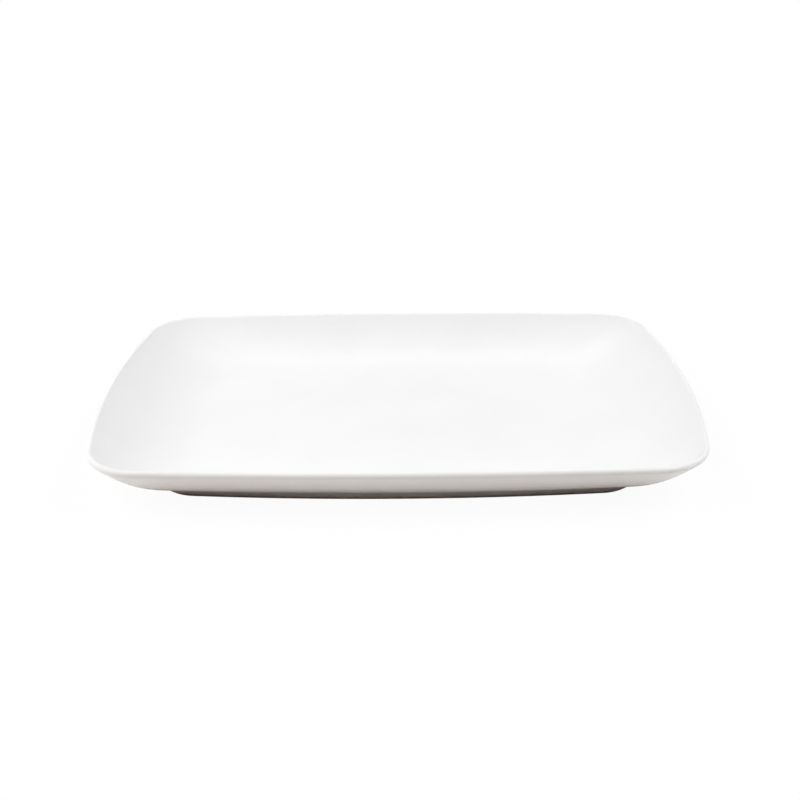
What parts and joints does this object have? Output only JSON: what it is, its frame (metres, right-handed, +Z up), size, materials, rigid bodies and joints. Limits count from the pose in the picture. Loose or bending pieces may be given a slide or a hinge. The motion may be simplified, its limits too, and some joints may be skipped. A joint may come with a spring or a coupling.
{
  "type": "serving tray",
  "caption": "Rectangular ceramic serving tray with softly bowed sides, rounded corners, a shallow sweeping well, a round lip and a foot ring under the base.",
  "frame": {"origin": "middle of the table plane that the foot ring stands on", "axes": "+X along the long sides, +Y from the front long side to the rear one, +Z up, out of the well"},
  "size_m": [0.33, 0.222, 0.028],
  "materials": {
    "biscuit": "bare fired clay, matt, seen only on the foot's edge",
    "white_glaze": "white glaze with a soft satin gloss"
  },
  "bodies": {
    "root": {"ceramic_body": "biscuit", "outer_glaze": "white_glaze", "base_glaze": "white_glaze"}
  },
  "joints": []
}
